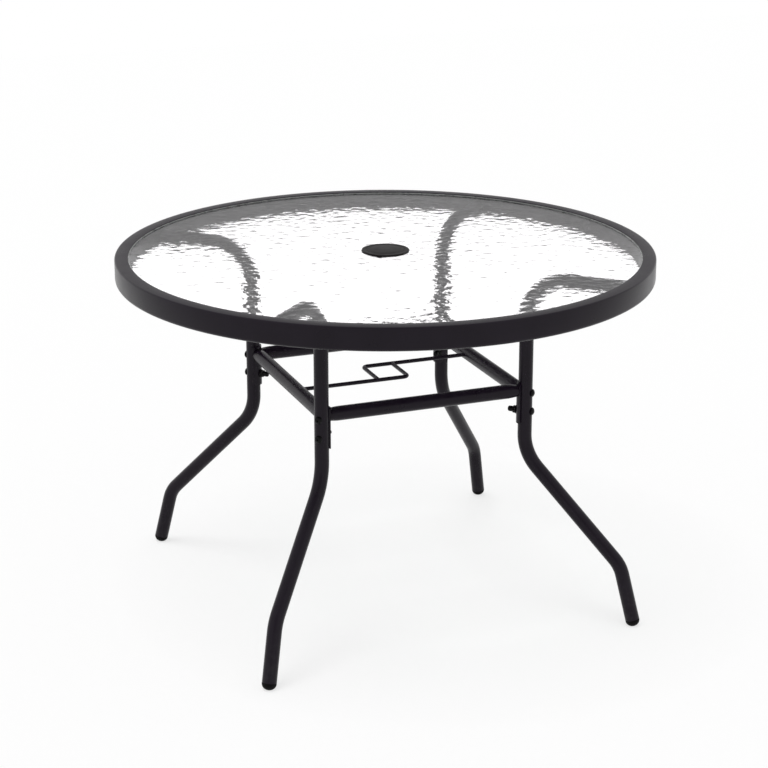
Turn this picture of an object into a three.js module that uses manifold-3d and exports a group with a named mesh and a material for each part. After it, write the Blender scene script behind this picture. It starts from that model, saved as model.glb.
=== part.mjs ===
// Round patio table with a glass top, four bent legs and a hole for an umbrella.
// Millimetres, +Z up. The origin is on the floor under the middle of the top.
// Legs stand on the diagonals, and the braces run along X and Y.
import * as THREE from "three";
import { mergeVertices } from "three/addons/utils/BufferGeometryUtils.js";
import Module from "manifold-3d";

// Whole table
const tableDiameter = 1067;
const tableHeight = 711;
const fitGap = 0.3; // between pieces that touch
const cutOverrun = 12; // how far a cutting tool runs past what it cuts

// Rim: one hoop of roll-formed strip, open along a seam on its inner side
const rimHeight = 45;
const rimSheet = 1.5;
const rimTopCorner = 3;
const rimBottomCorner = 7;
const rimSeam = 2;
const lipWidth = 26.5; // flat top of the rim, outer face to inner edge
const slotDepth = 10; // how far the glass and its gasket reach under the lip

// Glass and its gasket
const glassThickness = 5;
const glassArris = 0.8; // ground edge of the glass
const glassHoleDiameter = 64;
const bareGlassMargin = 2; // from the umbrella ring and the gasket to where things can stand
const gasketSheet = 1.2;
const gasketFoot = 9; // how far the gasket reaches under the glass
const gasketShow = 1.8; // how far its bead shows inside the lip
const gasketRise = 0.6; // how far the bead stands above the rest of it

// Umbrella ring and cap
const ringFlangeDiameter = 95;
const ringFlangeHeight = 4;
const ringEdge = 1.5;
const ringBoreDiameter = 48;
const ringDepth = 3; // below the underside of the glass
const ringPlay = 0.8; // slack of the ring in the glass
const capDiameter = 76;
const capThickness = 3;
const capCrown = 1; // rise of the cap above the flange at its middle
const capPlay = 0.5; // slack of the cap in the ring
const plugWall = 2;
const plugDepth = 6;

// Legs: one tube each, from the foot up to an arm under the glass, placed from the rim's outer face
const tubeDiameter = 28;
const tubeWall = 1.4;
const footOverhang = 3; // where the tube's axis would meet the floor, outside the rim
const footLift = 13; // along the tube, from the floor to its cut end
const ankleInset = 28.5; // corner of the lower bend, inside the rim
const ankleHeight = 121;
const uprightInset = 233.5; // axis of the upright stretch, inside the rim
const hipDrop = 128; // corner of the middle bend, below the braces' axis
const armDrop = 4; // between the glass and the arm
const ankleBend = 70; // bend radii at the tube's axis
const hipBend = 95;
const armBend = 82;

// Foot caps
const footCollar = 2; // straight part below the tube
const footDome = 12; // height of the dome before the floor cuts it
const footPlug = 25; // from the floor to the top of the part inside the tube

// Brackets, curved plates on the inner side of the uprights
const bracketSheet = 3.2;
const bracketAbove = 18; // above the braces' axis
const bracketBelow = 65;
const bracketWrap = THREE.MathUtils.degToRad(75); // each way from the middle

// Leg bolts, washers and cap nuts
const boltDiameter = 8;
const boltHeadDiameter = 15.5;
const boltHeadHeight = 4.4;
const boltSocket = 5; // across the flats
const boltSocketDepth = 2.6;
const upperBoltDrop = 3; // below the braces' axis
const boltSpacing = 38;
const upperBoltTip = 0.8; // past the bracket
const lowerBoltTip = 10; // inside the nut
const washerDiameter = 17;
const washerThickness = 1.6;
const nutFlats = 13;
const nutHeight = 5.5;
const nutDomeDiameter = 11;
const nutLength = 15.5;
const nutTipCorner = 3;

// Braces, a square of tubes between the uprights
const braceHeight = 457; // axis above the floor
const braceInset = 7.6; // from the uprights' axes inwards, along X or Y
const squeezeLength = 38; // flattened stretch at each end
const squeezeShare = 0.6; // height that is left at the end

// Guide rods round the umbrella pole
const rodDiameter = 8;
const rodBend = 11;
const guideWidth = 64; // along X, axis to axis
const guideDepth = 91; // along Y, axis to axis

// Tabs on the rim's inner wall, and their screws
const tabSheet = 3;
const tabWidth = 26;
const tabReach = 40; // under the arm
const tabRise = 27; // up the wall, from the underside
const screwDiameter = 6;
const screwHeadDiameter = 11;
const screwHeadHeight = 3;
const screwTip = 6; // inside the arm
const screwInset = 22; // from the tab's upright face

// How finely round things are cut
const ringSides = 64;
const ringPieceSides = 32;
const tubeSides = 16;
const boreSides = 8;
const rodSides = 8;
const boltSides = 12;
const bendStep = THREE.MathUtils.degToRad(15.5);

// Places that follow from the sizes
const rimRadius = tableDiameter / 2;
const rimBottom = tableHeight - rimHeight;
const lipRadius = rimRadius - lipWidth;
const slotRadius = lipRadius + slotDepth;
const glassTop = tableHeight - rimSheet - gasketSheet - 2 * fitGap;
const glassBottom = glassTop - glassThickness;
const slotFloor = glassBottom - gasketSheet - 2 * fitGap;
const tubeRadius = tubeDiameter / 2;
const boreRadius = tubeRadius - tubeWall;
const footRadius = rimRadius + footOverhang;
const ankleRadius = rimRadius - ankleInset;
const uprightRadius = rimRadius - uprightInset;
const hipHeight = braceHeight - hipDrop;
const armHeight = glassBottom - armDrop - tubeRadius;
const tabFace = flatOf(lipRadius, ringSides) - fitGap;
const armRadius = tabFace - tabSheet - fitGap; // where the arm ends
const bracketInner = tubeRadius + fitGap;
const bracketOuter = bracketInner + bracketSheet;
const upperBoltHeight = braceHeight - upperBoltDrop;
const lowerBoltHeight = upperBoltHeight - boltSpacing;
const boltHole = boltDiameter / 2 + fitGap;
const cornerPlace = uprightRadius * Math.SQRT1_2; // an upright's X and Y, without its sign
const bracePlace = cornerPlace - braceInset; // from the middle to a brace's axis
const rodRadius = rodDiameter / 2;

// Finishes
const charcoalCoat = new THREE.MeshStandardMaterial({ color: 0x2b292d, roughness: 0.5, metalness: 0.25 });
const clearGlass = new THREE.MeshStandardMaterial({
  color: 0xdfe8e6,
  roughness: 0.12,
  metalness: 0,
  transparent: true,
  opacity: 0.35,
});
const clearVinyl = new THREE.MeshStandardMaterial({ color: 0xe4e6e4, roughness: 0.4, metalness: 0 });
const blackPlastic = new THREE.MeshStandardMaterial({ color: 0x1d1c1e, roughness: 0.6, metalness: 0 });
const blackSteel = new THREE.MeshStandardMaterial({ color: 0x121214, roughness: 0.4, metalness: 0.7 });

const wasm = await Module();
wasm.setup();

// Distance from the middle to the flats of a polygon whose corners are at radius
function flatOf(radius, sides) {
  return radius * Math.cos(Math.PI / sides);
}

// Corner radius of a polygon whose flats are at radius
function cornerOf(radius, sides) {
  return radius / Math.cos(Math.PI / sides);
}

function solid(geometry) {
  const bare = geometry.clone();
  bare.deleteAttribute("normal");
  bare.deleteAttribute("uv");
  const welded = mergeVertices(bare);
  return new wasm.Manifold(
    new wasm.Mesh({
      numProp: 3,
      vertProperties: welded.attributes.position.array,
      triVerts: new Uint32Array(welded.index.array),
    }),
  );
}

function surface(body) {
  const made = body.getMesh();
  const shared = new THREE.BufferGeometry();
  shared.setAttribute("position", new THREE.BufferAttribute(made.vertProperties, 3));
  shared.setIndex(new THREE.BufferAttribute(made.triVerts, 1));
  const flat = shared.toNonIndexed();
  flat.computeVertexNormals();
  return flat;
}

function cut(geometry, tools) {
  return surface(tools.reduce((left, tool) => left.subtract(solid(tool)), solid(geometry)));
}

// Points on an arc of a profile, both ends included
function arc(centreX, centreY, radius, from, to, steps) {
  return Array.from({ length: steps + 1 }, (_, step) => {
    const angle = from + ((to - from) * step) / steps;
    return [centreX + radius * Math.cos(angle), centreY + radius * Math.sin(angle)];
  });
}

// A profile of [radius, height] pairs, turned about Z
function turned(profile, sides) {
  const points = profile.map(([radius, height]) => new THREE.Vector2(radius, height));
  return new THREE.LatheGeometry(points, sides).rotateX(Math.PI / 2);
}

function closed(profile) {
  return [...profile, profile[0]];
}

function polygon(radius, sides) {
  return arc(0, 0, radius, 0, (2 * Math.PI * (sides - 1)) / sides, sides - 1).map(
    ([x, y]) => new THREE.Vector2(x, y),
  );
}

// A route whose steps lie at its own stations, close in the bends and far apart on straight stretches
class StationPath extends THREE.Curve {
  constructor(stations) {
    super();
    this.stations = stations;
  }

  stationAt(share) {
    return this.stations[Math.round(share * (this.stations.length - 1))];
  }

  getPoint(share, target = new THREE.Vector3()) {
    return target.copy(this.stationAt(share).place);
  }

  getPointAt(share, target) {
    return this.getPoint(share, target);
  }

  getTangentAt(share, target = new THREE.Vector3()) {
    return target.copy(this.stationAt(share).heading);
  }
}

// Stations along straight stretches between corners, each corner rounded by its bend
function bentStations(corners, bends) {
  const headings = corners.slice(1).map((corner, i) => corner.clone().sub(corners[i]).normalize());
  const stations = [{ place: corners[0], heading: headings[0] }];
  bends.forEach((bend, i) => {
    const turn = headings[i].angleTo(headings[i + 1]);
    const axis = headings[i].clone().cross(headings[i + 1]).normalize();
    const start = corners[i + 1].clone().addScaledVector(headings[i], -bend * Math.tan(turn / 2));
    const centre = start.clone().addScaledVector(axis.clone().cross(headings[i]), bend);
    const steps = Math.ceil(turn / bendStep);
    for (let step = 0; step <= steps; step += 1) {
      const angle = (turn * step) / steps;
      const place = start.clone().sub(centre).applyAxisAngle(axis, angle).add(centre);
      stations.push({ place, heading: headings[i].clone().applyAxisAngle(axis, angle) });
    }
  });
  stations.push({ place: corners.at(-1), heading: headings.at(-1) });
  return stations;
}

function swept(section, stations) {
  const steps = stations.length - 1;
  return new THREE.ExtrudeGeometry(section, { steps, extrudePath: new StationPath(stations) });
}

function tubeSection() {
  const section = new THREE.Shape(polygon(tubeRadius, tubeSides));
  section.holes.push(new THREE.Path(polygon(boreRadius, boreSides)));
  return section;
}

// A cutter or pin along X, its ends at fromX and toX
function barAlongX(radius, sides, fromX, toX, height) {
  return new THREE.CylinderGeometry(radius, radius, toX - fromX, sides)
    .rotateZ(Math.PI / 2)
    .translate((fromX + toX) / 2, 0, height);
}

// A cutter along Z, its ends at fromZ and toZ
function barAlongZ(radius, sides, place, fromZ, toZ) {
  return new THREE.CylinderGeometry(radius, radius, toZ - fromZ, sides)
    .rotateX(Math.PI / 2)
    .translate(place[0], place[1], (fromZ + toZ) / 2);
}

function makeRim() {
  const inside = rimSheet;
  const profile = [
    [lipRadius, rimBottom],
    ...arc(
      rimRadius - rimBottomCorner,
      rimBottom + rimBottomCorner,
      rimBottomCorner,
      -Math.PI / 2,
      0,
      2,
    ),
    ...arc(rimRadius - rimTopCorner, tableHeight - rimTopCorner, rimTopCorner, 0, Math.PI / 2, 1),
    [lipRadius, tableHeight],
    [lipRadius, tableHeight - inside],
    [slotRadius, tableHeight - inside],
    [slotRadius, slotFloor],
    [lipRadius, slotFloor],
    [lipRadius, rimBottom + rimSheet + rimSeam],
    [lipRadius + inside, rimBottom + rimSheet + rimSeam],
    [lipRadius + inside, slotFloor - inside],
    [slotRadius + inside, slotFloor - inside],
    [slotRadius + inside, tableHeight - inside],
    [rimRadius - inside, tableHeight - inside],
    ...arc(
      rimRadius - rimBottomCorner,
      rimBottom + rimBottomCorner,
      rimBottomCorner - inside,
      0,
      -Math.PI / 2,
      1,
    ),
    [lipRadius, rimBottom + inside],
  ];
  return turned(closed(profile), ringSides);
}

function makeGlass() {
  const edge = slotRadius - fitGap - gasketSheet - fitGap;
  const hole = glassHoleDiameter / 2;
  // Two rings of points part the bare glass from the faces under the flange and the gasket
  const bareFrom = ringFlangeDiameter / 2 + bareGlassMargin;
  const bareTo = lipRadius - gasketShow - bareGlassMargin;
  return turned(
    closed([
      [hole, glassBottom],
      [edge - glassArris, glassBottom],
      [edge, glassBottom + glassArris],
      [edge, glassTop - glassArris],
      [edge - glassArris, glassTop],
      [bareTo, glassTop],
      [bareFrom, glassTop],
      [hole, glassTop],
    ]),
    ringSides,
  );
}

function makeGasket() {
  const outer = slotRadius - fitGap;
  const bottom = slotFloor + fitGap;
  const top = glassTop + fitGap + gasketSheet;
  const bead = lipRadius - fitGap;
  return turned(
    closed([
      [outer - gasketFoot, bottom],
      [outer, bottom],
      [outer, top],
      [bead, top],
      [bead, top + gasketRise],
      [lipRadius - gasketShow, top + gasketRise],
      [lipRadius - gasketShow, glassTop + fitGap],
      [outer - gasketSheet, glassTop + fitGap],
      [outer - gasketSheet, bottom + gasketSheet],
      [outer - gasketFoot, bottom + gasketSheet],
    ]),
    ringSides,
  );
}

const ringSeat = glassTop + fitGap; // underside of the ring's flange
const ringTop = ringSeat + ringFlangeHeight;
const capSeat = ringTop - capThickness; // floor of the ring's recess

function makeUmbrellaRing() {
  const bore = ringBoreDiameter / 2;
  const body = glassHoleDiameter / 2 - ringPlay;
  const flange = ringFlangeDiameter / 2;
  const recess = capDiameter / 2 + capPlay;
  const bottom = glassBottom - ringDepth;
  return turned(
    closed([
      [bore, bottom],
      [body, bottom],
      [body, ringSeat],
      [flange, ringSeat],
      [flange, ringTop - ringEdge],
      [flange - ringEdge, ringTop],
      [recess, ringTop],
      [recess, capSeat],
      [bore, capSeat],
    ]),
    ringPieceSides,
  );
}

function makeUmbrellaCap() {
  const rim = capDiameter / 2;
  const plug = ringBoreDiameter / 2 - capPlay;
  const seat = capSeat + fitGap;
  return turned(
    [
      [0, seat],
      [plug - plugWall, seat],
      [plug - plugWall, capSeat - plugDepth],
      [plug, capSeat - plugDepth],
      [plug, seat],
      [rim, seat],
      [rim, ringTop - capCrown],
      [rim - capCrown, ringTop],
      [plug, ringTop + capCrown / 2],
      [0, ringTop + capCrown],
    ],
    ringPieceSides,
  );
}

// Legs, brackets and their fixings are drawn for a leg that points along +X

function footAxis() {
  const floor = new THREE.Vector3(footRadius, 0, 0);
  const ankle = new THREE.Vector3(ankleRadius, 0, ankleHeight);
  return { floor, up: ankle.clone().sub(floor).normalize() };
}

function makeLeg() {
  const { floor, up } = footAxis();
  const corners = [
    floor.clone().addScaledVector(up, footLift),
    new THREE.Vector3(ankleRadius, 0, ankleHeight),
    new THREE.Vector3(uprightRadius, 0, hipHeight),
    new THREE.Vector3(uprightRadius, 0, armHeight),
    new THREE.Vector3(armRadius, 0, armHeight),
  ];
  const tube = swept(tubeSection(), bentStations(corners, [ankleBend, hipBend, armBend]));
  const reach = tubeRadius + cutOverrun;
  const boltCuts = [upperBoltHeight, lowerBoltHeight].map((height) =>
    barAlongX(boltHole, boltSides, uprightRadius - reach, uprightRadius + reach, height),
  );
  const screwCut = barAlongZ(
    screwDiameter / 2 + fitGap,
    boltSides,
    [tabFace - tabSheet - screwInset, 0],
    armHeight - reach,
    armHeight,
  );
  return cut(tube, [...boltCuts, screwCut]);
}

// The plug fits the tube's bore, and the floor cuts the dome flat
function makeFootCap() {
  const { floor, up } = footAxis();
  const collarTop = footLift - fitGap;
  const collarBottom = collarTop - footCollar;
  const plug = flatOf(boreRadius, boreSides) - fitGap;
  const dome = arc(0, 0, 1, -Math.PI / 2, 0, 4).map(([across, along]) => [
    tubeRadius * across,
    collarBottom + footDome * along,
  ]);
  dome[0][0] = 0;
  const inside = [
    [tubeRadius, collarTop],
    [plug, collarTop],
    [plug, footPlug],
    [0, footPlug],
  ];
  const cap = turned([...dome, ...inside], tubeSides);
  cap.applyQuaternion(new THREE.Quaternion().setFromUnitVectors(new THREE.Vector3(0, 0, 1), up));
  cap.translate(floor.x, floor.y, floor.z);
  const size = 2 * (tubeDiameter + cutOverrun);
  const ground = new THREE.BoxGeometry(size, size, size).translate(footRadius, 0, -size / 2);
  return cut(cap, [ground]);
}

function makeBracket() {
  const steps = 8;
  const from = Math.PI - bracketWrap;
  const to = Math.PI + bracketWrap;
  const outline = [
    ...arc(0, 0, cornerOf(bracketInner, (steps * Math.PI) / bracketWrap), from, to, steps),
    ...arc(0, 0, bracketOuter, to, from, steps),
  ].map(([x, y]) => new THREE.Vector2(x, y));
  const bottom = braceHeight - bracketBelow;
  const plate = new THREE.ExtrudeGeometry(new THREE.Shape(outline), {
    depth: bracketAbove + bracketBelow,
    bevelEnabled: false,
  }).translate(uprightRadius, 0, bottom);
  const far = uprightRadius - bracketOuter - cutOverrun;
  return cut(
    plate,
    [upperBoltHeight, lowerBoltHeight].map((height) =>
      barAlongX(boltHole, boltSides, far, uprightRadius, height),
    ),
  );
}

// A bolt on the radius at the given height, its domed head outside and its tip at tipRadius
function makeBolt(height, tipRadius) {
  const head = boltHeadDiameter / 2;
  const shank = boltDiameter / 2;
  const seat = uprightRadius + tubeRadius + fitGap;
  const length = seat - tipRadius;
  const dome = arc(0, 0, 1, Math.PI / 12, (5 * Math.PI) / 12, 3).map(([across, along]) => [
    head * across,
    boltHeadHeight * along,
  ]);
  const bolt = turned(
    [[0, -length], [shank, -length], [shank, 0], [head, 0], ...dome, [0, boltHeadHeight]],
    boltSides,
  );
  const socket = barAlongZ(
    cornerOf(boltSocket / 2, 6),
    6,
    [0, 0],
    boltHeadHeight - boltSocketDepth,
    boltHeadHeight + cutOverrun,
  );
  return cut(bolt, [socket]).rotateY(Math.PI / 2).translate(seat, 0, height);
}

const washerRadius = uprightRadius - bracketOuter - fitGap; // outer face of the washer's seat
const nutRadius = washerRadius - washerThickness - fitGap;

function makeWasher() {
  const edge = washerDiameter / 2;
  return turned(
    closed([
      [boltHole, 0],
      [edge, 0],
      [edge, washerThickness],
      [boltHole, washerThickness],
    ]),
    boltSides,
  )
    .rotateY(-Math.PI / 2)
    .translate(washerRadius, 0, lowerBoltHeight);
}

// Cap nut: a hexagon under a dome, bored from its flat side
function makeCapNut() {
  const dome = nutDomeDiameter / 2;
  const hexagon = barAlongZ(cornerOf(nutFlats / 2, 6), 6, [0, 0], 0, nutHeight);
  const round = turned(
    [
      [0, nutHeight / 2],
      [dome, nutHeight / 2],
      ...arc(dome - nutTipCorner, nutLength - nutTipCorner, nutTipCorner, 0, Math.PI / 2, 2),
      [0, nutLength],
    ],
    boltSides,
  );
  const bore = barAlongZ(boltHole, boltSides, [0, 0], -cutOverrun, lowerBoltTip + fitGap);
  return surface(solid(hexagon).add(solid(round)).subtract(solid(bore)))
    .rotateY(-Math.PI / 2)
    .translate(nutRadius, 0, lowerBoltHeight);
}

const tabTop = armHeight - tubeRadius - fitGap; // face that carries the arm
const tabBottom = tabTop - tabSheet;

function makeRimTab() {
  const back = tabFace - tabSheet;
  const outline = [
    [tabFace, tabBottom],
    [tabFace, tabBottom + tabRise],
    [back, tabBottom + tabRise],
    [back, tabTop],
    [back - tabReach, tabTop],
    [back - tabReach, tabBottom],
  ].map(([x, y]) => new THREE.Vector2(x, y));
  const plate = new THREE.ExtrudeGeometry(new THREE.Shape(outline), {
    depth: tabWidth,
    bevelEnabled: false,
  })
    .translate(0, 0, -tabWidth / 2)
    .rotateX(Math.PI / 2);
  const hole = barAlongZ(
    screwDiameter / 2 + fitGap,
    boltSides,
    [back - screwInset, 0],
    tabBottom - cutOverrun,
    tabTop + cutOverrun,
  );
  return cut(plate, [hole]);
}

function makeTabScrew() {
  const head = screwHeadDiameter / 2;
  const shank = screwDiameter / 2;
  const seat = tabBottom - fitGap;
  const tip = armHeight - tubeRadius + tubeWall + screwTip;
  return turned(
    [
      [0, seat - screwHeadHeight],
      [head - screwHeadHeight / 2, seat - screwHeadHeight],
      [head, seat - screwHeadHeight / 2],
      [head, seat],
      [shank, seat],
      [shank, tip],
      [0, tip],
    ],
    boltSides,
  ).translate(tabFace - tabSheet - screwInset, 0, 0);
}

// The brace on the -Y side: squeezed at its ends, mitred to its neighbours and coped round the brackets
function makeBrace() {
  const ends = [-1, 1];
  const squeezeSteps = 3;
  const shares = Array.from({ length: squeezeSteps + 1 }, (_, step) => step / squeezeSteps);
  const along = [
    ...shares.map((share) => -cornerPlace + squeezeLength * share),
    ...shares.map((share) => cornerPlace - squeezeLength * (1 - share)),
  ];
  const heading = new THREE.Vector3(1, 0, 0);
  const tube = swept(
    tubeSection(),
    along.map((x) => ({ place: new THREE.Vector3(x, 0, 0), heading })),
  );
  const places = tube.getAttribute("position");
  for (let i = 0; i < places.count; i += 1) {
    const inFromEnd = Math.min(1, (cornerPlace - Math.abs(places.getX(i))) / squeezeLength);
    const height = THREE.MathUtils.lerp(squeezeShare, 1, Math.sin((inFromEnd * Math.PI) / 2));
    places.setZ(i, places.getZ(i) * height);
  }
  tube.translate(0, -bracePlace, braceHeight);
  const size = tubeDiameter + 2 * cutOverrun;
  const copeRadius = cornerOf(bracketOuter + fitGap, 2 * boltSides);
  const mitres = ends.map((end) =>
    new THREE.BoxGeometry(4 * size, size, size)
      .translate(0, size / 2 - fitGap / 2, 0)
      .rotateZ((end * -Math.PI) / 4)
      .translate(end * bracePlace, -bracePlace, braceHeight),
  );
  const copes = ends.map((end) =>
    barAlongZ(
      copeRadius,
      2 * boltSides,
      [end * cornerPlace, -cornerPlace],
      braceHeight - size / 2,
      braceHeight + size / 2,
    ),
  );
  return cut(tube, [...mitres, ...copes]);
}

// The rod from the -X brace, whose end meets the rod from the +X brace: the same one turned half round
function makeGuideRod() {
  const start = -bracePlace + tubeRadius + fitGap;
  const corners = [
    new THREE.Vector3(start, -guideDepth / 2, braceHeight),
    new THREE.Vector3(guideWidth / 2, -guideDepth / 2, braceHeight),
    new THREE.Vector3(guideWidth / 2, guideDepth / 2 - rodRadius - fitGap, braceHeight),
  ];
  return swept(new THREE.Shape(polygon(rodRadius, rodSides)), bentStations(corners, [rodBend]));
}

const table = new THREE.Group();

function addPiece(name, geometry, material, angle = 0) {
  const mesh = new THREE.Mesh(geometry, material);
  mesh.name = name;
  mesh.rotation.z = angle;
  table.add(mesh);
}

addPiece("table_rim", makeRim(), charcoalCoat);
addPiece("glass_top", makeGlass(), clearGlass);
addPiece("glass_gasket", makeGasket(), clearVinyl);
addPiece("umbrella_ring", makeUmbrellaRing(), blackPlastic);
addPiece("umbrella_cap", makeUmbrellaCap(), blackPlastic);

const legPieces = [
  ["leg", makeLeg(), charcoalCoat],
  ["foot_cap", makeFootCap(), blackPlastic],
  ["leg_bracket", makeBracket(), charcoalCoat],
  ["upper_bolt", makeBolt(upperBoltHeight, uprightRadius - bracketOuter - upperBoltTip), blackSteel],
  ["lower_bolt", makeBolt(lowerBoltHeight, nutRadius - lowerBoltTip), blackSteel],
  ["bolt_washer", makeWasher(), blackSteel],
  ["cap_nut", makeCapNut(), blackSteel],
  ["rim_tab", makeRimTab(), charcoalCoat],
  ["tab_screw", makeTabScrew(), blackSteel],
];
["back_right", "back_left", "front_left", "front_right"].forEach((corner, quarter) => {
  for (const [name, geometry, material] of legPieces) {
    addPiece(`${name}_${corner}`, geometry, material, Math.PI / 4 + (quarter * Math.PI) / 2);
  }
});

const brace = makeBrace();
["front", "right", "back", "left"].forEach((side, quarter) => {
  addPiece(`brace_${side}`, brace, charcoalCoat, (quarter * Math.PI) / 2);
});

const guideRod = makeGuideRod();
addPiece("guide_rod_left", guideRod, charcoalCoat);
addPiece("guide_rod_right", guideRod, charcoalCoat, Math.PI);

export default table;
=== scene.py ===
# Round patio table with a rippled glass top: smooth pieces, finishes, floor, lights and camera.
# Metres, +Z up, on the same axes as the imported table.
from math import ceil, cos, pi, radians, sin, sqrt, tan

import bmesh
import bpy
from mathutils import Matrix, Vector, noise


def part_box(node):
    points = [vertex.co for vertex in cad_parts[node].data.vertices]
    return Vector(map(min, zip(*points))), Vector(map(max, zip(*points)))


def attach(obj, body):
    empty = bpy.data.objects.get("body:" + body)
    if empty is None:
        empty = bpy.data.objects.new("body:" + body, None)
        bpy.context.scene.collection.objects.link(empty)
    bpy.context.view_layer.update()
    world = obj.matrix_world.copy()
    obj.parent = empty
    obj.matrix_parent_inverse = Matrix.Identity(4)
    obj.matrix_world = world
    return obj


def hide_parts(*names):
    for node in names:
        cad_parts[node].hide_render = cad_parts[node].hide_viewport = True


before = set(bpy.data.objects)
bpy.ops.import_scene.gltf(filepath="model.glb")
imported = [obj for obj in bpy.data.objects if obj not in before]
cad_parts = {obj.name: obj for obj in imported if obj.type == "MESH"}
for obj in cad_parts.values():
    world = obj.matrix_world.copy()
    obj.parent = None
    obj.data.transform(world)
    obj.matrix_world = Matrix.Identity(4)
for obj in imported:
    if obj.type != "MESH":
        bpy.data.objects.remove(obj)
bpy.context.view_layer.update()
print("table: frame loaded,", len(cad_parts), "nodes")

corners = {"back_right": 45, "back_left": 135, "front_left": 225, "front_right": 315}  # degrees from +X
sides = {"front": 0, "right": 90, "back": 180, "left": 270}


# Finishes

def newGroup(name, inputs, outputs):
    # A node group with named value, colour and vector sockets
    group = bpy.data.node_groups.new(name, "ShaderNodeTree")
    for label, kind, value in inputs:
        socket = group.interface.new_socket(label, in_out="INPUT", socket_type=kind)
        if value is not None:
            socket.default_value = value
    for label, kind in outputs:
        group.interface.new_socket(label, in_out="OUTPUT", socket_type=kind)
    return group, group.nodes.new("NodeGroupInput"), group.nodes.new("NodeGroupOutput")


def link(tree, source, target):
    tree.links.new(source, target)


def feed(tree, value, socket):
    # A plain number is typed into the socket, anything else is linked to it
    if isinstance(value, (int, float)):
        socket.default_value = value
    else:
        link(tree, value, socket)


def noiseNode(tree, vector, scale, detail=2.0, roughness=0.5):
    node = tree.nodes.new("ShaderNodeTexNoise")
    node.inputs["Detail"].default_value = detail
    node.inputs["Roughness"].default_value = roughness
    link(tree, vector, node.inputs["Vector"])
    feed(tree, scale, node.inputs["Scale"])
    return node.outputs[0]


def mathNode(tree, operation, first, second=None, clamp=False):
    node = tree.nodes.new("ShaderNodeMath")
    node.operation = operation
    node.use_clamp = clamp
    feed(tree, first, node.inputs[0])
    if second is not None:
        feed(tree, second, node.inputs[1])
    return node.outputs[0]


def rangeNode(tree, value, fromLow, fromHigh, toLow, toHigh):
    node = tree.nodes.new("ShaderNodeMapRange")
    labels = ("Value", "From Min", "From Max", "To Min", "To Max")
    for label, number in zip(labels, (value, fromLow, fromHigh, toLow, toHigh)):
        feed(tree, number, node.inputs[label])
    return node.outputs["Result"]


def makeGrainGroup():
    # Fine bumps of a coating or a moulding, and the slow drift of its tone
    group, given, out = newGroup(
        "surfaceGrain",
        [("Vector", "NodeSocketVector", None), ("Grains per metre", "NodeSocketFloat", 700.0),
         ("Patches per metre", "NodeSocketFloat", 18.0)],
        [("Height", "NodeSocketFloat"), ("Patches", "NodeSocketFloat")],
    )
    place = given.outputs["Vector"]
    fine = noiseNode(group, place, given.outputs["Grains per metre"], detail=3.0, roughness=0.6)
    slow = noiseNode(group, place, given.outputs["Patches per metre"], detail=4.0, roughness=0.55)
    link(group, fine, out.inputs["Height"])
    link(group, slow, out.inputs["Patches"])
    return group


# Where a curved edge counts as rubbed, and how the rubbing breaks up
rubbing = {"curveFrom": 0.52, "curveTo": 0.6, "breaksPerMetre": 90.0, "breakFrom": 0.45, "breakTo": 0.62}


def makeRubGroup():
    # Edges that hands and cloths have rubbed: a mask from the curve of the surface, broken up by noise
    group, given, out = newGroup(
        "edgeRub",
        [("Vector", "NodeSocketVector", None), ("Amount", "NodeSocketFloat", 0.5)],
        [("Mask", "NodeSocketFloat")],
    )
    curve = group.nodes.new("ShaderNodeNewGeometry").outputs["Pointiness"]
    edge = rangeNode(group, curve, rubbing["curveFrom"], rubbing["curveTo"], 0.0, 1.0)
    broken = noiseNode(group, given.outputs["Vector"], rubbing["breaksPerMetre"], detail=4.0, roughness=0.7)
    kept = rangeNode(group, broken, rubbing["breakFrom"], rubbing["breakTo"], 0.0, 1.0)
    rubbed = mathNode(group, "MULTIPLY", edge, kept)
    link(group, mathNode(group, "MULTIPLY", rubbed, given.outputs["Amount"], clamp=True), out.inputs["Mask"])
    return group


grainGroup = makeGrainGroup()
rubGroup = makeRubGroup()


def newMaterial(name):
    material = bpy.data.materials.new(name)
    material.use_nodes = True
    tree = material.node_tree
    place = tree.nodes.new("ShaderNodeTexCoord")
    return material, tree, tree.nodes["Principled BSDF"], place.outputs["Object"]


def groupNode(tree, group, **values):
    node = tree.nodes.new("ShaderNodeGroup")
    node.node_tree = group
    for label, value in values.items():
        node.inputs[label.replace("_", " ")].default_value = value
    return node


def mixColours(tree, factor, first, second):
    node = tree.nodes.new("ShaderNodeMix")
    node.data_type = "RGBA"
    link(tree, factor, node.inputs["Factor"])
    for label, value in (("A", first), ("B", second)):
        socket = next(s for s in node.inputs if s.name == label and s.type == "RGBA")
        if isinstance(value, tuple):
            socket.default_value = (*value, 1.0)
        else:
            link(tree, value, socket)
    return next(s for s in node.outputs if s.type == "RGBA")


def bumpFrom(tree, height, strength, depth, shader):
    bump = tree.nodes.new("ShaderNodeBump")
    bump.inputs["Strength"].default_value = strength
    bump.inputs["Distance"].default_value = depth
    link(tree, height, bump.inputs["Height"])
    link(tree, bump.outputs["Normal"], shader.inputs["Normal"])


patchSpan = (0.35, 0.65)  # how much of the slow noise the two tones take up
glossSpan = (0.3, 0.7)  # and how much of it the change of roughness


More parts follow.
